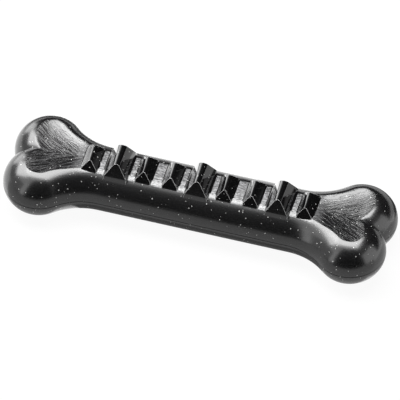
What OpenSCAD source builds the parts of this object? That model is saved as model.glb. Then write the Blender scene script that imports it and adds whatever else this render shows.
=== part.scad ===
// Chew toy in the shape of a bone, in black speckled rubber.
// Two hollow half shells close at mid height with a tongue and groove. Nine ridges stand across the
// shaft, each seated in a pocket of the upper shell and held from inside by a headed stem.
// The origin is on the ground under the middle of the bone. X runs along the bone, Z is up.

/* [Bone] */
// Overall length of the bone
bone_l = 150; // [135:1:190]
// Radius of each of the four lobes, seen from above
lobe_r = 13.75; // [13:0.25:16]
// Distance between the centres of the two lobes at one end
lobe_spread = 16; // [14:0.5:20]
// Width of the shaft
shaft_w = 25.4; // [24:0.2:29]
// Radius of the hollow curve that leads from the shaft to a lobe
web_r = 22; // [18:1:32]
// Height of the upper half, which is also how far in its sides are rounded
top_h = 10.8; // [9.8:0.1:11.6]
// Height of the lower half, which is also how far in its sides are rounded
base_h = 10.4; // [9.4:0.1:11.4]
// Length of the valley that runs from between two lobes out into the shaft
valley_l = 13; // [8:0.5:18]
// Width of the smooth rim that is left around the sunk top
rim_w = 8.2; // [7:0.1:9.6]
// How far the top is sunk below the inner edge of its rim
sink_d = 0.25; // [0.1:0.05:0.5]

/* [Shells] */
// Thickness of the side walls at the parting plane
side_wall = 5; // [4.4:0.1:5.6]
// Thickness of the upper shell's ceiling
ceiling_wall = 4.8; // [4.4:0.1:5.2]
// Thickness of the lower shell's floor
floor_wall = 4.8; // [3.6:0.1:5.4]
// Width of the tongue that stands on the lower shell's edge
tongue_w = 1.6; // [1.2:0.1:2]
// Height of the tongue
tongue_h = 1.6; // [1:0.1:2.4]
// Clearance around the tongue in its groove
tongue_clear = 0.1; // [0.05:0.05:0.2]
// Height of the fine groove that shows where the shells meet
seam_h = 0.3; // [0.2:0.05:0.5]
// Depth of that fine groove
seam_d = 0.4; // [0.2:0.05:0.6]

/* [Ridges] */
// Distance from one ridge to the next
ridge_pitch = 10.6; // [10.4:0.1:11.2]
// How deep the ends of a ridge are let into the upper shell
ridge_bed = 0.8; // [0.6:0.1:1]
// Clearance around a ridge in its pocket and around its stem
ridge_clear = 0.1; // [0.05:0.05:0.15]
// Thickness of the head on a ridge's stem
head_t = 1.4; // [1:0.1:2]
// How far the head stands out around the stem
head_over = 1; // [0.6:0.1:1.2]

/* [Large ridges] */
// Width of a large ridge where it rises from the shaft
large_w = 8.3; // [7.9:0.1:8.6]
// Width of its foot in the pocket
large_foot_w = 9.5; // [8.8:0.1:9.8]
// Length of a large ridge across the shaft
large_l = 15.8; // [14.8:0.1:16.6]
// Width of the flat crest
large_crest_w = 1.8; // [1:0.1:3]
// Length of the flat crest
large_crest_l = 9.9; // [8:0.1:12]
// Height of the crest above the shaft
large_rise = 5.4; // [3:0.1:5.5]
// Width of the stem
large_stem_w = 3; // [2:0.1:4]
// Length of the stem across the shaft
large_stem_l = 8; // [7:0.5:9]

/* [Small ridges] */
// Width of a small ridge where it rises from the shaft
small_w = 5.9; // [5.4:0.1:6.4]
// Width of its foot in the pocket
small_foot_w = 5.7; // [5.2:0.1:6.4]
// Length of a small ridge across the shaft
small_l = 12.9; // [12:0.1:13.8]
// Width of the flat crest
small_crest_w = 1.3; // [0.8:0.1:2.4]
// Length of the flat crest
small_crest_l = 7.8; // [6:0.1:9]
// Height of the crest above the shaft
small_rise = 3; // [1.8:0.1:3.4]
// Width of the stem
small_stem_w = 2; // [1.6:0.1:2.6]
// Length of the stem across the shaft
small_stem_l = 6.6; // [6:0.2:8]

/* [Backing rails] */
// Thickness of each rail that stands on the lower shell's floor and backs the ridges
rail_t = 2; // [1.4:0.1:2.4]
// Distance between the middles of the two rails
rail_gap = 6; // [5:0.2:6.6]

/* [Hidden] */
// How far a cut runs past the surface that it opens
over = 1;
// Two points nearer than this are taken as one
merge_d = 0.0000001;

// Places of the ridges along the shaft, counted in pitches from its middle
large_steps = [-3, 0, 3];
small_steps = [-4, -2, -1, 1, 2, 4];

// Largest turn, in degrees, from one point to the next around a lobe
turn = 12;
// Steps that draw the rounded side, the valley side of a lobe, the web and the fork
side_n = 8;
valley_n = 5;
web_n = 3;
fork_n = 5;

half_w = shaft_w / 2;
lobe_c = [bone_l / 2 - lobe_r, lobe_spread / 2];
web_y = half_w + web_r;
web_c = [lobe_c.x - sqrt(pow(lobe_r + web_r, 2) - pow(web_y - lobe_c.y, 2)), web_y];
fork = [lobe_c.x - valley_l, 0];
// Angles about the lobe's centre: where the web ends, and where the two lobes cross
web_angle = atan2(web_c.y - lobe_c.y, web_c.x - lobe_c.x);
notch_angle = -asin(lobe_c.y / lobe_r);
notch = [lobe_c.x + sqrt(pow(lobe_r, 2) - pow(lobe_c.y, 2)), 0];

// Heights below are measured from the parting plane
sunk_z = shaft_z(half_w - rim_w) - sink_d;
ceiling_z = top_h - ceiling_wall;
floor_z = floor_wall - base_h;
head_z = ceiling_z - ridge_clear - head_t;
rail_z = head_z - ridge_clear;
rail_l = (max(small_steps) - min(small_steps)) * ridge_pitch + small_w;
rail_root_z = floor_z - floor_wall / 2;
tongue_in = (side_wall - tongue_w) / 2;

// A ridge as [width, foot width, length, crest width, crest length, rise, stem width, stem length]
large = [large_w, large_foot_w, large_l, large_crest_w, large_crest_l, large_rise,
    large_stem_w, large_stem_l];
small = [small_w, small_foot_w, small_l, small_crest_w, small_crest_l, small_rise,
    small_stem_w, small_stem_l];

// How far in from the outline the sides of a half of height h are rounded
function round_in(h) = min(h, half_w, lobe_r);
// Height of the shaft's rounded surface at a distance y from its middle
function shaft_z(y) = top_h * sqrt(1 - pow(max(0, 1 - (half_w - y) / round_in(top_h)), 2));
// Height of the ends of a ridge, and of the pocket floor that it rests on
function end_z(r) = shaft_z(r[2] / 2);
function seat_z(r) = end_z(r) - ridge_bed;

function unit(v) = v / norm(v);
function polar(r, a) = [r * cos(a), r * sin(a)];
function between(a, b, part) = a + (b - a) * part;
// Angles from a to b in equal steps, without a itself
function arc(a, b) = let (n = ceil(abs(b - a) / turn)) [for (i = [1 : n]) between(a, b, i / n)];

// Middle line of one limb: along the shaft to the fork, then out to the lobe's centre
middle_line = concat(
    [[0, 0]],
    [for (i = [0 : web_n]) [web_c.x + (fork.x - web_c.x) * i / web_n, 0]],
    [for (i = [1 : fork_n]) fork + (lobe_c - fork) * i / fork_n]
);

// Point of the outline that faces a point of the middle line
function rim(q) = q.x <= web_c.x ? [q.x, half_w] : web_c + web_r * unit(q - web_c);

// Stations go once round a quarter of the bone, each as [start, end on the middle line, inset at start].
// Past the notch they start on the plane between the two lobes, inside the outline.
stations = concat(
    [for (q = middle_line) [rim(q), q, 0]],
    [for (a = concat(arc(web_angle, 90), arc(90, 0), arc(0, notch_angle)))
        if (a > notch_angle) [lobe_c + polar(lobe_r, a), lobe_c, 0]],
    [[notch, lobe_c, 0]],
    [for (i = [1 : valley_n]) let (a = between(notch_angle, -90, i / valley_n), d = -lobe_c.y / sin(a))
        [[lobe_c.x + d * cos(a), 0], lobe_c, lobe_r - d]],
    [for (i = [fork_n - 1 : -1 : 0]) let (q = fork + (lobe_c - fork) * i / fork_n)
        [[q.x, 0], q, half_w + (lobe_r - half_w) * i / fork_n - q.y]]
);

// Section at a station: from the parting plane up over the rounded side and in to the middle line
function section(s, h) =
    let (reach = norm(s[1] - s[0]), r = round_in(h), first = s[2] < r ? acos(1 - s[2] / r) : 90)
    concat(
        [[s[0].x, s[0].y, 0]],
        [for (k = [0 : side_n])
            let (a = first + (90 - first) * k / side_n, moved = max(0, r * (1 - cos(a)) - s[2]))
            let (p = reach > merge_d ? s[0] + (s[1] - s[0]) * moved / reach : s[0])
            [p.x, p.y, h * sin(a)]],
        [[s[1].x, s[1].y, h], [s[1].x, s[1].y, 0]]
    );

function apart(a, b) = norm(a - b) > merge_d;
function is_face(t, points) = apart(points[t[0]], points[t[1]])
    && apart(points[t[1]], points[t[2]]) && apart(points[t[2]], points[t[0]]);
function turned(t, flip) = flip ? [t[2], t[1], t[0]] : t;

// One half of the bone above the parting plane, solid, with its sides rounded by its own height
module half_body(h) {
    sections = [for (s = stations) section(s, h)];
    row = side_n + 4;
    quarter = len(sections) * row;
    quarters = [[1, 1], [-1, 1], [-1, -1], [1, -1]];
    points = [for (m = quarters) for (s = sections) for (p = s) [m.x * p.x, m.y * p.y, p.z]];
    // Strips over the top, and the one along the parting plane
    strips = concat([for (k = [1 : side_n + 1]) [k, k + 1]], [[row - 1, 0]]);
    faces = [for (q = [0 : 3]) for (j = [0 : len(sections) - 2]) for (e = strips)
        let (a = q * quarter + j * row, b = a + row)
        for (t = [[a + e[0], b + e[0], b + e[1]], [a + e[0], b + e[1], a + e[1]]])
            if (is_face(t, points)) turned(t, q % 2 == 1)];
    polyhedron(points, faces, convexity = 6);
}

// Middles of equal steps from 0 to 1
function steps(n) = [for (i = [1 : n]) (i - 0.5) / n];

// Quarter of the outline seen from above, drawn in by an inset: the web, the lobe, and the notch on X.
// Where the lobes are drawn in so far that they part, it goes straight to X under the lobe's centre.
function quarter_outline(inset) =
    let (r = lobe_r - inset, notch_x = sqrt(max(0, pow(r, 2) - pow(lobe_c.y, 2))))
    let (lobe_end = -atan2(lobe_c.y, notch_x), lobe_n = ceil((web_angle - lobe_end) / turn))
    concat(
        [for (k = steps(web_n + fork_n)) web_c + polar(web_r + inset, between(-90, web_angle - 180, k))],
        [for (k = steps(lobe_n)) lobe_c + polar(r, between(web_angle, lobe_end, k))],
        [[lobe_c.x + notch_x, 0]]
    );

module plan(inset) {
    there = quarter_outline(inset);
    back = [for (i = [len(there) - 2 : -1 : 0]) there[i]];
    polygon(concat(
        there,
        [for (p = back) [p.x, -p.y]],
        [for (p = there) [-p.x, -p.y]],
        [for (p = back) [-p.x, p.y]]
    ));
}

// Band that follows the outline between two insets
module band(outer, inner, h) {
    linear_extrude(h)
        difference() {
            plan(outer);
            plan(inner);
        }
}

// Block whose section across X and whose section across Y are two outlines in height
module crossed(across, along, w, l) {
    intersection() {
        rotate([90, 0, 0]) linear_extrude(l, center = true) polygon(across);
        rotate([90, 0, 90]) linear_extrude(w, center = true) polygon(along);
    }
}

// Outline in height with mirrored sides, from half widths and their heights
function both_sides(p) = concat(p, [for (i = [len(p) - 1 : -1 : 0]) [-p[i].x, p[i].y]]);

// Ridge with its hipped top, foot, stem and head, at the middle of the shaft
module ridge(r) {
    crest_z = top_h + r[5];
    across = [[r[1] / 2, seat_z(r)], [r[0] / 2, top_h], [r[3] / 2, crest_z]];
    along = [[r[2] / 2, seat_z(r)], [r[2] / 2, end_z(r)], [r[4] / 2, crest_z]];
    crossed(both_sides(across), both_sides(along), 2 * r[1], 2 * r[2]);
    translate([-r[6] / 2, -r[7] / 2, head_z]) cube([r[6], r[7], seat_z(r) - head_z + ridge_bed / 2]);
    translate([-r[6] / 2 - head_over, -r[7] / 2 - head_over, head_z])
        cube([r[6] + 2 * head_over, r[7] + 2 * head_over, head_t]);
}

// Pocket and stem slot that the upper shell has for a ridge
module ridge_seat(r) {
    flare = (r[1] - r[0]) / (top_h - seat_z(r)) / 2;
    mouth = r[0] / 2 + ridge_clear;
    across = [[r[1] / 2 + ridge_clear, seat_z(r)], [mouth - flare * over, top_h + over]];
    along = [[r[2] / 2 + ridge_clear, seat_z(r)], [r[2] / 2 + ridge_clear, top_h + over]];
    crossed(both_sides(across), both_sides(along), 2 * r[1], 2 * r[2]);
    translate([0, 0, ceiling_z - over])
        linear_extrude(seat_z(r) - ceiling_z + over + ridge_bed / 2)
            square([r[6] + 2 * ridge_clear, r[7] + 2 * ridge_clear], center = true);
}

module upper_shell() {
    color("#26272a")
        translate([0, 0, base_h])
            difference() {
                half_body(top_h);
                translate([0, 0, sunk_z]) linear_extrude(top_h - sunk_z + over) plan(rim_w);
                translate([0, 0, -over]) linear_extrude(ceiling_z + over) plan(side_wall);
                translate([0, 0, -over])
                    band(tongue_in - tongue_clear, tongue_in + tongue_w + tongue_clear,
                        tongue_h + tongue_clear + over);
                translate([0, 0, -over]) band(-over, seam_d, seam_h / 2 + over);
                for (i = large_steps) translate([i * ridge_pitch, 0, 0]) ridge_seat(large);
                for (i = small_steps) translate([i * ridge_pitch, 0, 0]) ridge_seat(small);
            }
}

module lower_shell() {
    color("#2f302f")
        translate([0, 0, base_h]) {
            difference() {
                mirror([0, 0, 1]) half_body(base_h);
                translate([0, 0, floor_z]) linear_extrude(over - floor_z) plan(side_wall);
                translate([0, 0, -seam_h / 2]) band(-over, seam_d, seam_h / 2 + over);
            }
            translate([0, 0, -tongue_h]) band(tongue_in, tongue_in + tongue_w, 2 * tongue_h);
            for (side = [-1, 1])
                translate([-rail_l / 2, (side * rail_gap - rail_t) / 2, rail_root_z])
                    cube([rail_l, rail_t, rail_z - rail_root_z]);
        }
}

module large_ridge(i) {
    color("#0f0f11")
        translate([large_steps[i] * ridge_pitch, 0, base_h]) ridge(large);
}

module small_ridge(i) {
    color("#0f0f11")
        translate([small_steps[i] * ridge_pitch, 0, base_h]) ridge(small);
}

upper_shell();
lower_shell();
for (i = [0 : len(large_steps) - 1])
    large_ridge(i);
for (i = [0 : len(small_steps) - 1])
    small_ridge(i);
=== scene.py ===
"""Chew bone in black speckled rubber: fine half shells, polished ridges, materials, studio and camera."""

import math
from collections import namedtuple

import bmesh
import bpy
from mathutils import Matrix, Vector

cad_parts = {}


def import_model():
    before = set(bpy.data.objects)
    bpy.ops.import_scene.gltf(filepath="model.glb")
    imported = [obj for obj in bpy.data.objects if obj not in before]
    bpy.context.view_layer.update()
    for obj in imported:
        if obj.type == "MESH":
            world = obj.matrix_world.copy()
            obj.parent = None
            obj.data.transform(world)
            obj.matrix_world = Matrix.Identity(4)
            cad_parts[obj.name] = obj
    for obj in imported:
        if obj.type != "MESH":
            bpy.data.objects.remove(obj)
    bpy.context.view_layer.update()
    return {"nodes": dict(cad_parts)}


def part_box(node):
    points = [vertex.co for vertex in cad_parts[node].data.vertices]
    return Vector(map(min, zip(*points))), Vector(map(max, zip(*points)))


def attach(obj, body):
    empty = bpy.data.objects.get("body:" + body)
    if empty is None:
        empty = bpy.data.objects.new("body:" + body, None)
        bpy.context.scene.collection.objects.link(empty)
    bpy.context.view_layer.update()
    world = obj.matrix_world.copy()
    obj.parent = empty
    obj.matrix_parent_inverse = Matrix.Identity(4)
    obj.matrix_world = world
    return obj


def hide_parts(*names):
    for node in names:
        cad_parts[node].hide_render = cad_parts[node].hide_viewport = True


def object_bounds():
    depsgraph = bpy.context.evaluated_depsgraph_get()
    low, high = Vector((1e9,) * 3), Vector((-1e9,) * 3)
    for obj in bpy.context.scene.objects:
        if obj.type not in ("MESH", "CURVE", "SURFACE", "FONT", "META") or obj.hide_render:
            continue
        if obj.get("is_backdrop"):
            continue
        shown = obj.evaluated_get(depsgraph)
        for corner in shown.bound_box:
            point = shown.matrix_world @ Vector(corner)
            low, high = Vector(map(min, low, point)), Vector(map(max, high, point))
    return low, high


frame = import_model()

MM = 0.001

# Sizes of the bone: its lobes, its waist, the hollow curve between them, the valley between two lobes,
# the heights above and below the parting plane, the walls, and the notch that shows as the seam
shell_low, shell_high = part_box("upper_shell")
PARTING_Z = shell_low.z
HALF_L = shell_high.x
LOBE_Y = 8 * MM
LOBE_R = shell_high.y - LOBE_Y
HALF_W = 12.7 * MM
WEB_R = 22 * MM
VALLEY_L = 13 * MM
TOP_H = 10.8 * MM
BASE_H = PARTING_Z
SIDE_WALL = 5 * MM
SHELL_WALL = 4.8 * MM
SEAM_H = 0.15 * MM
SEAM_D = 0.4 * MM

# The border of the grained top, as insets from the outline: along the shaft (front, back),
# along the front and the back of the limbs, and round the ends
RIM_SHAFT = (7.95 * MM, 7.4 * MM)
RIM_FRONT = 8.9 * MM
RIM_BACK = 7.6 * MM
RIM_END = 9.2 * MM

# The trough over the limbs: how steeply it falls from the front border, where it is lowest as a share
# of the way to the back border, the share of the fall that is rounded, and how far it rises at the back
FALL = math.tan(math.radians(9))
LOWEST = 0.15
BOTTOM = 0.4
BACK_RISE = 0.5

# Stretches in x where the shaft's top turns into the trough, its border moves in, and the ends begin
NECK_X = (43 * MM, 50 * MM)
LIMB_X = (49 * MM, 60 * MM)
END_X = (60 * MM, 68 * MM)

# How softly the side rolls over into the top: everywhere, and how much more where the edge is rounder,
# which it becomes over ROLL_Y; the insets between which the grit begins, and how softly the grain ends
BLEND = 0.02 * MM
ROLL = 0.33 * MM
ROLL_Y = 3.5 * MM
GRIT_RIM = (6.2 * MM, 6.6 * MM)
GRAIN_EDGE = 0.06 * MM

# Steps of the fine meshes, which are finest at the insets where the top's border lies
SHAFT_N = 40
WEB_N = 8
FORK_N = 22
LOBE_N = 48
VALLEY_N = 22
SIDE_N = 22
BORDER_N = 18
TOP_N = 12
BORDER = (7 * MM, 9.4 * MM)
MERGE_D = 0.001 * MM
SMOOTH_ANGLE = math.radians(35)

# Ridges: the width is at the top of the shaft, the radii are of the crest's left and right sides at its
# front and at its back, the crest ends that far from the middle, and it rises that far above the shaft
Ridge = namedtuple("Ridge", "width foot_width length front_radii back_radii crest_end rise fillet")
LARGE = Ridge(
    width=8.5 * MM,
    foot_width=9.5 * MM,
    length=15.8 * MM,
    front_radii=(1.4 * MM, 1.6 * MM),
    back_radii=(2.3 * MM, 1.8 * MM),
    crest_end=4.95 * MM,
    rise=5.4 * MM,
    fillet=0.9 * MM,
)
SMALL = Ridge(
    width=5.9 * MM,
    foot_width=5.8 * MM,
    length=12.9 * MM,
    front_radii=(1 * MM, 0.8 * MM),
    back_radii=(1.8 * MM, 1.1 * MM),
    crest_end=3.9 * MM,
    rise=3 * MM,
    fillet=0.65 * MM,
)

# How deep a ridge is let into the shell, the radius of its rounded corners, which are painted pale as a
# highlight, and the stretch at its ends over which its fillet runs out
RIDGE_BED = 0.8 * MM
EDGE_R = 0.12 * MM
FILLET_END = 1.5 * MM

# Steps round a corner, a crest and a fillet, and along a fillet, and halvings to find a side's lean
EDGE_N = 4
CREST_N = 10
FILLET_N = 6
FILLET_STEPS = 32
LEAN_N = 40

# Rubbers: base colour, roughness, and roughness of the coat
SHELL_RUBBER = ((0.006, 0.006, 0.0063), 0.25, 0.2)
RIDGE_RUBBER = ((0.004, 0.004, 0.0042), 0.09, 0.06)
# Pale rubber for the ridges' rounded corners: a painted highlight along the hip edges
EDGE_HIGHLIGHT_RUBBER = ((0.35, 0.35, 0.35), 0.3, 0.2)
SPECULAR = 0.95
MOTTLE_SCALE = 160
MOTTLE_GAIN = 1.6

# Flecks: cells to a metre, radius as a least share of a cell and its spread, least paleness and its spread
FLECK_SCALE = 620
FLECK_R = (0.03, 0.13)
FLECK_PALE = (0.4, 0.6)
FLECK_COLOUR = (0.95, 0.95, 0.93, 1)

# Grain: noise to a metre, the noise that stands proud and its least scuff, heights of grit and lines,
# width of a line's cut and of its scuffed middle, and the bump that they make
GRIT_SCALE = (700, 1600, 1600)
GRIT_PROUD = (0.4, 0.7)
GRIT_SCUFF = 0.2
GRIT_H = 2.5
LINE_ALONG = 130
LINE_ACROSS = 900
LINE_BEND = 0.9
LINE_W = 0.06
LINE_H = 0.5
LINE_SCUFF_W = 0.035
LINE_SCUFF = 0.14
SCUFF_COLOUR = (0.45, 0.45, 0.46, 1)
BUMP = 0.5
BUMP_H = 0.08 * MM

# The table and the room: what light falls on, what the eye sees, and the fill from all round
FLOOR_SIZE = 3
FLOOR_D = 0.05 * MM
FLOOR_LIT = (0.68, 0.68, 0.68, 1)
FLOOR_SHADED = (0.08, 0.08, 0.08, 1)
FLOOR_WHITE = 0.94
FILL = 0.1

# Softboxes: where they are, and their width, depth and radiance
OVERHEAD_AT = Vector((-0.063, 0.172, 0.7))
OVERHEAD = (0.714, 0.464, 5.15)
LEFT_AZIMUTH = math.radians(163)
LEFT_ELEVATION = math.radians(44)
LEFT_D = 0.9
LEFT = (0.6, 0.54, 4.2)

# Cloth of the tent, at TENT_R: azimuths from and to, elevations from and to, in degrees, and its level
TENT_R = 1.2
TENT_N = (24, 8)
TENT = {
    "front cloth": ((-122, -28), (-1, 74), 0.02),
    "right cloth": ((-28, 22), (38, 62), 0.15),
    "back cloth": ((58, 128), (-1, 62), 0.01),
    "side cloth": ((20, 58), (-2, 62), 0.01),
    "left cloth": ((180, 224), (-1, 36), 0.4),
    "left edge": ((224, 238), (-1, 50), 1.4),
    "far cloth": ((150, 180), (-1, 26), 0.3),
    "crest cloth": ((128, 150), (-1, 27), 2.6),
}

# Cards on the table, at CARD_Z: two opposite corners, and the level
CARD_Z = 0.2 * MM
CARDS = {
    # A grey card before the bone: painted shade of the table in front of it, for reflections to see
    "painted table shade": ((-0.6, -0.15), (0.5, -0.017), 0.42),
    "far card": ((-0.8, -1.1), (0.7, -0.15), 0.04),
    "left back card": ((-0.12, 0.045), (-0.035, 0.2), 0.1),
    "bright card": ((-0.072, 0.024), (0.015, 0.045), 1.8),
    "right back card": ((0.045, 0.028), (0.1, 0.05), 0.03),
    "far right card": ((0.02, 0.05), (0.2, 0.22), 0.45),
    "side card": ((0.075, -0.02), (0.14, 0.03), 0.5),
    # A dark card under the bone: a painted shadow of the table, for reflections to see
    "painted shadow card": ((-0.045, -0.017), (0.05, 0.017), 0.14),
}

# The photograph: its width in the object's plane, the direction it is taken from, and its middle
VIEW_W = 151.5 * MM
VIEW_AZIMUTH = math.radians(16.05)
VIEW_ELEVATION = math.radians(50.3)
VIEW_AT = Vector((-0.17 * MM, -0.14 * MM, PARTING_Z))
VIEW_D = 1000 * MM

# Middles of the circles that the outline is made of, where the limbs part, and where the arcs end
LOBE_X = HALF_L - LOBE_R
WEB_Y = HALF_W + WEB_R
WEB = Vector((LOBE_X - math.sqrt((LOBE_R + WEB_R) ** 2 - (WEB_Y - LOBE_Y) ** 2), WEB_Y))
LOBE = Vector((LOBE_X, LOBE_Y))
FORK = Vector((LOBE_X - VALLEY_L, 0))
WEB_ANGLE = math.atan2(WEB.y - LOBE.y, WEB.x - LOBE.x)
NOTCH_ANGLE = -math.asin(LOBE.y / LOBE_R)


def mix(a, b, part):
    return a + (b - a) * part


def ease(low, high, value):
    """0 below low, 1 above high, and a smooth rise between."""
    t = min(1, max(0, (value - low) / (high - low)))
    return t * t * (3 - 2 * t)


def direction(azimuth, elevation):
    """Unit vector toward an azimuth, counted from +X toward +Y, and an elevation."""
    flat = math.cos(elevation)
    return Vector((flat * math.cos(azimuth), flat * math.sin(azimuth), math.sin(elevation)))


def piece(name, mesh):
    """A named object from a bmesh, shaded smooth except at its sharp edges."""
    data = bpy.data.meshes.new(name)
    mesh.to_mesh(data)
    mesh.free()
    data.shade_smooth()
    data.set_sharp_from_angle(angle=SMOOTH_ANGLE)
    made = bpy.data.objects.new(name, data)
    bpy.context.scene.collection.objects.link(made)
    return made


def clean(mesh):
    """Joins points that coincide, and turns all faces outward."""
    bmesh.ops.remove_doubles(mesh, verts=mesh.verts, dist=MERGE_D)
    bmesh.ops.dissolve_degenerate(mesh, edges=mesh.edges, dist=MERGE_D / 10)
    bmesh.ops.recalc_face_normals(mesh, faces=mesh.faces)


def stations():
    """Once round a quarter of the bone: the start and end of each section, and the inset at its start."""
    found = []
    for i in range(SHAFT_N):
        x = WEB.x * i / SHAFT_N
        found.append((Vector((x, HALF_W)), Vector((x, 0)), 0))
    line = [mix(Vector((WEB.x, 0)), FORK, i / WEB_N) for i in range(WEB_N)]
    line += [mix(FORK, LOBE, i / FORK_N) for i in range(FORK_N + 1)]
    found += [(WEB + WEB_R * (q - WEB).normalized(), q, 0) for q in line]
    for i in range(1, LOBE_N):
        a = mix(WEB_ANGLE, NOTCH_ANGLE, i / LOBE_N)
        found.append((LOBE + LOBE_R * Vector((math.cos(a), math.sin(a))), LOBE, 0))
    for i in range(VALLEY_N + 1):
        a = mix(NOTCH_ANGLE, -math.pi / 2, i / VALLEY_N)
        d = -LOBE.y / math.sin(a)
        found.append((Vector((LOBE.x + d * math.cos(a), 0)), LOBE, max(0, LOBE_R - d)))
    for i in range(FORK_N - 1, -1, -1):
        q = mix(FORK, LOBE, i / FORK_N)
        found.append((Vector((q.x, 0)), q, mix(HALF_W, LOBE_R, i / FORK_N) - q.y))
    return found


def pillow(inset, height):
    """Height of the rounded side at an inset from the outline."""
    return height * math.sqrt(1 - max(0, 1 - inset / height) ** 2)


def border_y(x, rim):
    """How far from the middle the contour at an inset from the outline lies, at x."""
    if x < WEB.x:
        return HALF_W - rim
    toward = (LOBE - WEB).normalized()
    if x < WEB.x + toward.x * (WEB_R + rim):
        return WEB.y - math.sqrt((WEB_R + rim) ** 2 - (x - WEB.x) ** 2)
    return LOBE.y + math.sqrt((LOBE_R - rim) ** 2 - max(0, LOBE.x - x) ** 2)


def sunk_top(x, y):
    """Height of the grained top: flat along the shaft, and a shallow trough over the limbs."""
    x = abs(x)
    limb = ease(*NECK_X, x)
    rim_front = mix(RIM_SHAFT[0], RIM_FRONT, ease(*LIMB_X, x))
    rim_back = mix(RIM_SHAFT[1], RIM_BACK, limb)
    front, back = border_y(x, rim_front), border_y(x, rim_back)
    middle = LOWEST * back
    front_z = pillow(rim_front, TOP_H)
    fall = limb * FALL * (front + middle)
    low_z = front_z - fall * (1 - BOTTOM / 2)
    if y < middle:
        t = (middle - y) / (front + middle)
        z = low_z + fall * (t - BOTTOM / 2 if t > BOTTOM else t * t / (2 * BOTTOM))
    else:
        t = (y - middle) / (back - middle)
        z = mix(low_z, pillow(rim_back, TOP_H), BACK_RISE * t**3)
    rim_end = mix(rim_front, RIM_END, ease(-ROLL_Y, ROLL_Y, y))
    return mix(z, pillow(rim_end, TOP_H), ease(*END_X, x))


def upper(x, y, inset):
    """Height of the upper shell, and how much of its grained top shows there, from 0 to 1."""
    side, top = pillow(inset, TOP_H), sunk_top(x, y)
    if inset < BORDER[0] / 2:
        return side, 0
    shaft = 1 - ease(*NECK_X, abs(x))
    blend = BLEND + ROLL * (shaft * ease(0, ROLL_Y, -y) + (1 - shaft) * ease(0, ROLL_Y, y))
    d = side - top
    z = (side + top - math.sqrt(d * d + blend * blend)) / 2
    grained = min(1, max(0, 0.5 + d / GRAIN_EDGE))
    if y < 0:
        grained = max(grained, shaft * ease(*GRIT_RIM, inset))
    return z, grained


def lower(x, y, inset):
    """Height of the lower shell, measured down from the parting plane."""
    return pillow(inset, BASE_H), 0


def section(station, my, surface, height):
    """Section of a shell as (x, y, z, grained): the edge, the seam, the outside and the cavity."""
    start, end, first = station
    length = (end - start).length
    reach = first + length
    turn = math.acos(1 - BORDER[0] / height)
    insets = [height * (1 - math.cos(turn * k / SIDE_N)) for k in range(SIDE_N)]
    insets += [mix(*BORDER, k / BORDER_N) for k in range(BORDER_N)]
    insets += [mix(BORDER[1], reach, k / TOP_N) for k in range(TOP_N + 1)]
    ceiling = height - SHELL_WALL
    path = [(SIDE_WALL, 0), (SEAM_D, 0), (SEAM_D, SEAM_H)]
    path += [(i, None) for i in insets]
    path += [(reach, ceiling), (SIDE_WALL, ceiling)]
    points = []
    for inset, z in path:
        kept = max(inset, first)
        part = (kept - first) / length if length > MERGE_D else 0
        p = start.lerp(end, min(1, part))
        grained = 0
        if z is None:
            z, grained = surface(p.x, my * p.y, kept)
            z = max(SEAM_H, z)
        points.append((p.x, p.y, z, grained))
    return points


def shell(name, surface, height, up):
    """One half of the bone, hollow and closed, above (up = 1) or below (up = -1) the parting plane."""
    mesh = bmesh.new()
    mask = mesh.verts.layers.float.new("grained")
    for my in (1, -1):
        sections = [section(s, my, surface, height) for s in stations()]
        for mx in (1, -1):
            rows = []
            for points in sections:
                row = []
                for x, y, z, grained in points:
                    v = mesh.verts.new((mx * x, my * y, PARTING_Z + up * z))
                    v[mask] = grained
                    row.append(v)
                rows.append(row)
            for a, b in zip(rows, rows[1:]):
                join_sections(mesh, a, b)
    clean(mesh)
    return piece(name, mesh)


def join_sections(mesh, a, b):
    """Faces between two sections, but for those where the parts of the shell meet inside it."""
    inner_end = len(a) - 3
    for k in range(len(a)):
        n = (k + 1) % len(a)
        quad = (a[k], b[k], b[n], a[n])
        if k == inner_end or all(abs(v.co.y) < MERGE_D for v in quad):
            continue
        mesh.faces.new(quad)


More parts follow.
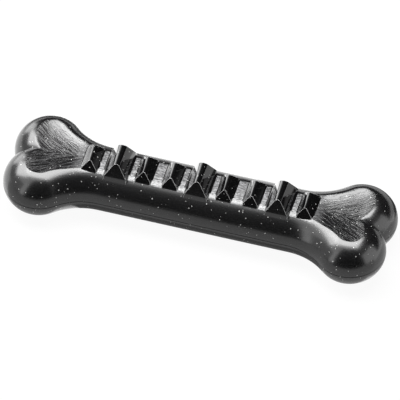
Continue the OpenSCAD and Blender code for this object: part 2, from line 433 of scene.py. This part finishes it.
def ridge(name, node, sizes):
    """A ridge with a round crest, hipped ends and a fillet along its foot, let into the shell."""
    low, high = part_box(node)
    x = (low.x + high.x) / 2
    half_l = sizes.length / 2
    end_z = pillow(HALF_W - half_l, TOP_H)
    seat_z = end_z - RIDGE_BED
    crest_z = TOP_H + sizes.rise
    end_w = mix(sizes.foot_width, sizes.width, (end_z - seat_z) / (TOP_H - seat_z))

    def half_section(side, radius):
        """The foot, the flat side and the round crest, left (side = -1) or right (side = 1)."""
        lean = crest_lean(sizes.width / 2, sizes.rise, radius)
        half = [(sizes.foot_width / 2, seat_z), (end_w / 2, end_z), (sizes.width / 2, TOP_H)]
        for k in range(CREST_N + 1):
            a = lean * (1 - k / CREST_N)
            half.append((radius * math.sin(a), crest_z - radius * (1 - math.cos(a))))
        return [(side * across, z) for across, z in half]

    front_halves = [half_section(*pair) for pair in zip((-1, 1), sizes.front_radii)]
    back_halves = [half_section(*pair) for pair in zip((-1, 1), sizes.back_radii)]

    # At each end and side: columns of points round the corner, from the side to the hip
    mesh = bmesh.new()
    corners = []
    for my, halves in ((-1, front_halves), (1, back_halves)):
        for half in halves:
            columns = []
            for i in range(EDGE_N + 1):
                turn = math.pi / 2 * i / EDGE_N
                column = []
                for across, z in half:
                    edge = min(EDGE_R, abs(across))
                    back = edge * (1 - math.cos(turn))
                    along = mix(half_l, sizes.crest_end, max(0, (z - end_z) / (crest_z - end_z)))
                    along -= edge * (1 - math.sin(turn))
                    away = across - math.copysign(back, across)
                    column.append(mesh.verts.new((x + away, my * along, PARTING_Z + z)))
                columns.append(column)
            corners.append(columns)
    front_left, front_right, back_left, back_right = corners
    bands = [(front_left[0], back_left[0], 0), (front_right[0], back_right[0], 0)]
    bands += [(front_left[-1], front_right[-1], 0), (back_left[-1], back_right[-1], 0)]
    # The rounded corner bands take the second, pale material: a painted highlight along each edge
    bands += [(c[i], c[i + 1], 1) for c in corners for i in range(EDGE_N)]
    for one, two, highlighted in bands:
        for k in range(len(one) - 1):
            mesh.faces.new((one[k], one[k + 1], two[k + 1], two[k])).material_index = highlighted
    foot = [c[0] for c in front_left] + [c[0] for c in reversed(front_right)]
    foot += [c[0] for c in back_right] + [c[0] for c in reversed(back_left)]
    mesh.faces.new(foot)
    clean(mesh)
    for halves in zip(front_halves, back_halves):
        foot_fillet(mesh, x, halves, sizes)
    made = piece(name, mesh)
    made.modifiers.new("flat sides", "WEIGHTED_NORMAL").keep_sharp = True
    return made


def crest_lean(half_w, rise, radius):
    """Angle at which a ridge's side, rising from its half width, runs smoothly into its round crest."""
    low, high = 0, math.pi / 2
    for _ in range(LEAN_N):
        a = (low + high) / 2
        side = (half_w - radius * math.sin(a)) * math.tan(a)
        if side < rise - radius * (1 - math.cos(a)):
            low = a
        else:
            high = a
    return a


def foot_fillet(mesh, x, halves, sizes):
    """Adds the hollow fillet between a ridge's side and the shell, which it follows along the ridge."""
    sign = math.copysign(1, halves[0][0][0])
    half_l = sizes.length / 2
    size = sizes.fillet

    # The fillet's back is sunk into the ridge by the one, and into the shell by the other
    inward = Vector((sign * size / 2, 0))
    downward = Vector((0, size / 4))

    rings = []
    for j in range(FILLET_STEPS + 1):
        part = j / FILLET_STEPS
        half = [Vector(front).lerp(Vector(back), part) for front, back in zip(*halves)]
        y = mix(-half_l, half_l, part)
        z = upper(x, y, HALF_W - abs(y))[0]
        reach = size * ease(0, FILLET_END, half_l - abs(y) + size / 10)
        corner = Vector((out_at(half, z), z))
        top = Vector((out_at(half, z + reach), z + reach))
        toe = Vector((corner.x + sign * reach, z))
        path = []
        for k in range(FILLET_N + 1):
            t = k / FILLET_N
            path.append(mix(mix(top, corner, t), mix(corner, toe, t), t))
        path += [toe - downward, corner - inward - downward, top - inward]
        rings.append([mesh.verts.new((x + q.x, y, PARTING_Z + q.y)) for q in path])
    made = [mesh.faces.new(rings[0]), mesh.faces.new(rings[-1])]
    for a, b in zip(rings, rings[1:]):
        for k in range(len(a)):
            n = (k + 1) % len(a)
            made.append(mesh.faces.new((a[k], b[k], b[n], a[n])))
    bmesh.ops.recalc_face_normals(mesh, faces=made)


def out_at(half, z):
    """How far out a ridge's half section reaches at a height."""
    for (a, low), (b, high) in zip(half, half[1:]):
        if z <= high:
            return mix(a, b, (z - low) / (high - low))
    return b


def adder(tree):
    """Empties a node tree and returns a short way to add nodes to it."""
    tree.nodes.clear()

    def add(kind, inputs=None, **settings):
        node = tree.nodes.new(kind)
        for key, value in settings.items():
            setattr(node, key, value)
        for key, value in (inputs or {}).items():
            if isinstance(value, bpy.types.NodeSocket):
                tree.links.new(value, node.inputs[key])
            else:
                node.inputs[key].default_value = value
        return node

    return add


def new_material(name):
    """A material with an empty node tree, and the way to add nodes to it."""
    material = bpy.data.materials.new(name)
    material.use_nodes = True
    return material, adder(material.node_tree)


def rubber(name, base, rough, coat):
    """Black rubber with white flecks through it, smooth but for the grained top."""
    material, add = new_material(name)

    def maths(operation, a, b=0.5, c=0.0):
        return add("ShaderNodeMath", {0: a, 1: b, 2: c}, operation=operation).outputs[0]

    def blend(part, one, two):
        return add("ShaderNodeMix", {0: part, 6: one, 7: two}, data_type="RGBA").outputs[2]

    place = add("ShaderNodeTexCoord").outputs["Object"]
    flecks = add("ShaderNodeTexVoronoi", {"Vector": place, "Scale": FLECK_SCALE})
    kind = add("ShaderNodeSeparateColor", {"Color": flecks.outputs["Color"]}).outputs
    size = maths("MULTIPLY_ADD", kind[0], FLECK_R[1], FLECK_R[0])
    fleck = maths("LESS_THAN", flecks.outputs["Distance"], size)
    pale = maths("MULTIPLY", fleck, maths("MULTIPLY_ADD", kind[1], FLECK_PALE[1], FLECK_PALE[0]))
    mottle = add("ShaderNodeTexNoise", {"Vector": place, "Scale": MOTTLE_SCALE, "Detail": 3})
    tone = blend(mottle.outputs["Fac"], (*base, 1), (*[c * MOTTLE_GAIN for c in base], 1))

    # Grain: sandy between the ridges, and wavy lines along each limb
    grained = add("ShaderNodeAttribute", attribute_name="grained").outputs["Fac"]
    xyz = add("ShaderNodeSeparateXYZ", {"Vector": place}).outputs
    x, y = maths("ABSOLUTE", xyz[0]), maths("ABSOLUTE", xyz[1])
    past_fork = maths("MAXIMUM", maths("SUBTRACT", x, FORK.x), 0)
    across = maths("SUBTRACT", y, maths("MULTIPLY", past_fork, LOBE.y / VALLEY_L))
    flow = {0: maths("MULTIPLY", x, LINE_ALONG), 1: maths("MULTIPLY", across, LINE_ACROSS)}
    flow[2] = maths("SIGN", xyz[1])
    flow = add("ShaderNodeCombineXYZ", flow).outputs[0]
    lines = {"Vector": flow, "Scale": 1, "Detail": 2, "Distortion": LINE_BEND}
    lines = add("ShaderNodeTexNoise", lines).outputs["Fac"]
    thin = maths("ABSOLUTE", maths("SUBTRACT", lines, 0.5))
    cut = {0: thin, 1: 0, 2: LINE_W, 3: -1, 4: 0}
    cut = add("ShaderNodeMapRange", cut, interpolation_type="SMOOTHSTEP").outputs[0]
    strokes = add("ShaderNodeMapping", {"Vector": place, "Scale": GRIT_SCALE}).outputs[0]
    sand = add("ShaderNodeTexNoise", {"Vector": strokes, "Scale": 1, "Detail": 3}).outputs["Fac"]
    limb = add("ShaderNodeMapRange", {0: x, 1: NECK_X[0], 2: NECK_X[1]}).outputs[0]

    # What stands proud in the grain is scuffed paler: grit between the ridges, thin lines on the limbs
    proud = {0: sand, 1: GRIT_PROUD[0], 2: GRIT_PROUD[1], 3: GRIT_SCUFF}
    proud = add("ShaderNodeMapRange", proud).outputs[0]
    lined = add("ShaderNodeMapRange", {0: thin, 1: 0, 2: LINE_SCUFF_W, 3: LINE_SCUFF, 4: 0}).outputs[0]
    pattern = add("ShaderNodeMix", {0: limb, 2: proud, 3: lined}).outputs[0]
    tone = blend(maths("MULTIPLY", pattern, grained), tone, SCUFF_COLOUR)
    colour = blend(pale, tone, FLECK_COLOUR)
    carved = maths("ADD", maths("MULTIPLY", cut, LINE_H), lines)
    height = add("ShaderNodeMix", {0: limb, 2: maths("MULTIPLY", sand, GRIT_H), 3: carved}).outputs[0]
    height = maths("MULTIPLY", height, grained)
    bump = add("ShaderNodeBump", {"Height": height, "Strength": BUMP, "Distance": BUMP_H}).outputs[0]
    surface = add(
        "ShaderNodeBsdfPrincipled",
        {
            "Base Color": colour,
            "Roughness": rough,
            "Normal": bump,
            "Specular IOR Level": SPECULAR,
            "Coat Weight": 1.0,
            "Coat Roughness": coat,
            "Coat Normal": bump,
        },
    )
    add("ShaderNodeOutputMaterial", {"Surface": surface.outputs[0]})
    return material


def set_in_frame(made, node, material):
    """Dresses a piece, which stands for a node and belongs to the only body."""
    made.data.materials.append(material)
    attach(made, "root")
    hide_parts(node)


def seen(add):
    """1 on the rays that the camera, a reflection or glass sees by, and 0 on the rays that light."""
    path = add("ShaderNodeLightPath").outputs
    rays = {0: path["Is Camera Ray"], 1: path["Is Glossy Ray"]}
    rays = {0: add("ShaderNodeMath", rays, operation="MAXIMUM").outputs[0], 1: path["Is Transmission Ray"]}
    return add("ShaderNodeMath", rays, operation="MAXIMUM").outputs[0]


def floor():
    """A white table that keeps a soft shadow and is as white as the background where it is seen."""
    mesh = bmesh.new()
    bmesh.ops.create_grid(mesh, x_segments=1, y_segments=1, size=FLOOR_SIZE)
    bmesh.ops.translate(mesh, verts=mesh.verts, vec=(0, 0, -FLOOR_D))
    made = piece("floor", mesh)
    material, add = new_material("white table")
    lit = add("ShaderNodeBsdfDiffuse", {"Color": FLOOR_LIT})
    shaded = add("ShaderNodeBsdfDiffuse", {"Color": FLOOR_SHADED})
    white = add("ShaderNodeEmission", {"Strength": FLOOR_WHITE})
    both = add("ShaderNodeAddShader", {0: shaded.outputs[0], 1: white.outputs[0]})
    pick = add("ShaderNodeMixShader", {0: seen(add), 1: lit.outputs[0], 2: both.outputs[0]})
    add("ShaderNodeOutputMaterial", {"Surface": pick.outputs[0]})
    made.data.materials.append(material)
    made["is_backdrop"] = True


def world():
    """Soft light from all round, and white where the camera or a reflection sees the background."""
    made = bpy.data.worlds.new("studio")
    bpy.context.scene.world = made
    made.use_nodes = True
    add = adder(made.node_tree)
    fill = add("ShaderNodeBackground", {"Strength": FILL})
    white = add("ShaderNodeBackground", {"Color": (1, 1, 1, 1)})
    pick = add("ShaderNodeMixShader", {0: seen(add), 1: fill.outputs[0], 2: white.outputs[0]})
    add("ShaderNodeOutputWorld", {"Surface": pick.outputs[0]})


def softbox(name, place, aim, width, depth, radiance):
    """A rectangular soft light."""
    light = bpy.data.lights.new(name, "AREA")
    light.shape = "RECTANGLE"
    light.size, light.size_y = width, depth
    light.energy = radiance * math.pi * width * depth
    made = bpy.data.objects.new(name, light)
    made.location = place
    made.rotation_euler = aim.to_track_quat("-Z", "Y").to_euler()
    bpy.context.scene.collection.objects.link(made)


def reflected_only(made, level):
    """Makes a card that reflections alone see, at one level: 0 is black and 1 white."""
    material, add = new_material(made.name)
    glow = add("ShaderNodeEmission", {"Strength": level})
    add("ShaderNodeOutputMaterial", {"Surface": glow.outputs[0]})
    made.data.materials.append(material)
    made.visible_camera = made.visible_diffuse = made.visible_shadow = made.visible_transmission = False
    made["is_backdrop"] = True


def tent_panel(name, azimuths, elevations, level):
    """A piece of a cloth tent hung round the set, for the bone's gloss to reflect."""
    mesh = bmesh.new()
    around, high = TENT_N
    rows = []
    for j in range(high + 1):
        elevation = math.radians(mix(*elevations, j / high))
        row = []
        for i in range(around + 1):
            azimuth = math.radians(mix(*azimuths, i / around))
            row.append(mesh.verts.new(TENT_R * direction(azimuth, elevation)))
        rows.append(row)
    for one, two in zip(rows, rows[1:]):
        for i in range(around):
            mesh.faces.new((one[i], one[i + 1], two[i + 1], two[i]))
    reflected_only(piece(name, mesh), level)


def table_card(name, low, high, level):
    """A card laid on the table beside the bone, between two corners."""
    mesh = bmesh.new()
    corners = ((low[0], low[1]), (high[0], low[1]), (high[0], high[1]), (low[0], high[1]))
    mesh.faces.new([mesh.verts.new((x, y, CARD_Z)) for x, y in corners])
    reflected_only(piece(name, mesh), level)


def camera():
    """The photograph's camera, which shows no perspective."""
    data = bpy.data.cameras.new("camera")
    data.type = "ORTHO"
    data.ortho_scale = VIEW_W
    made = bpy.data.objects.new("camera", data)
    bpy.context.scene.collection.objects.link(made)
    back = direction(VIEW_AZIMUTH - math.pi / 2, VIEW_ELEVATION)
    made.location = VIEW_AT + back * VIEW_D
    made.rotation_euler = back.to_track_quat("Z", "Y").to_euler()
    bpy.context.scene.camera = made


camera()
shell_rubber = rubber("shell rubber", *SHELL_RUBBER)
ridge_rubber = rubber("ridge rubber", *RIDGE_RUBBER)
# Pale rubber painted on the ridges' rounded corners as a highlight
edge_highlight_rubber = rubber("painted edge highlights", *EDGE_HIGHLIGHT_RUBBER)
set_in_frame(shell("upper_half", upper, TOP_H, 1), "upper_shell", shell_rubber)
set_in_frame(shell("lower_half", lower, BASE_H, -1), "lower_shell", shell_rubber)
for node in frame["nodes"]:
    if "ridge" in node:
        sizes = LARGE if node.startswith("large") else SMALL
        made = ridge(f"{node}_top", node, sizes)
        set_in_frame(made, node, ridge_rubber)
        # Second material of the ridge: the painted highlight on its rounded corners
        made.data.materials.append(edge_highlight_rubber)

floor()
world()
softbox("overhead softbox", OVERHEAD_AT, Vector((0, 0, -1)), *OVERHEAD)
toward_left = direction(LEFT_AZIMUTH, LEFT_ELEVATION)
softbox("left softbox", LEFT_D * toward_left, -toward_left, *LEFT)
for name, (azimuths, elevations, level) in TENT.items():
    tent_panel(name, azimuths, elevations, level)
for name, (low, high, level) in CARDS.items():
    table_card(name, low, high, level)

bpy.context.scene.view_settings.view_transform = "Standard"

low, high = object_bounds()
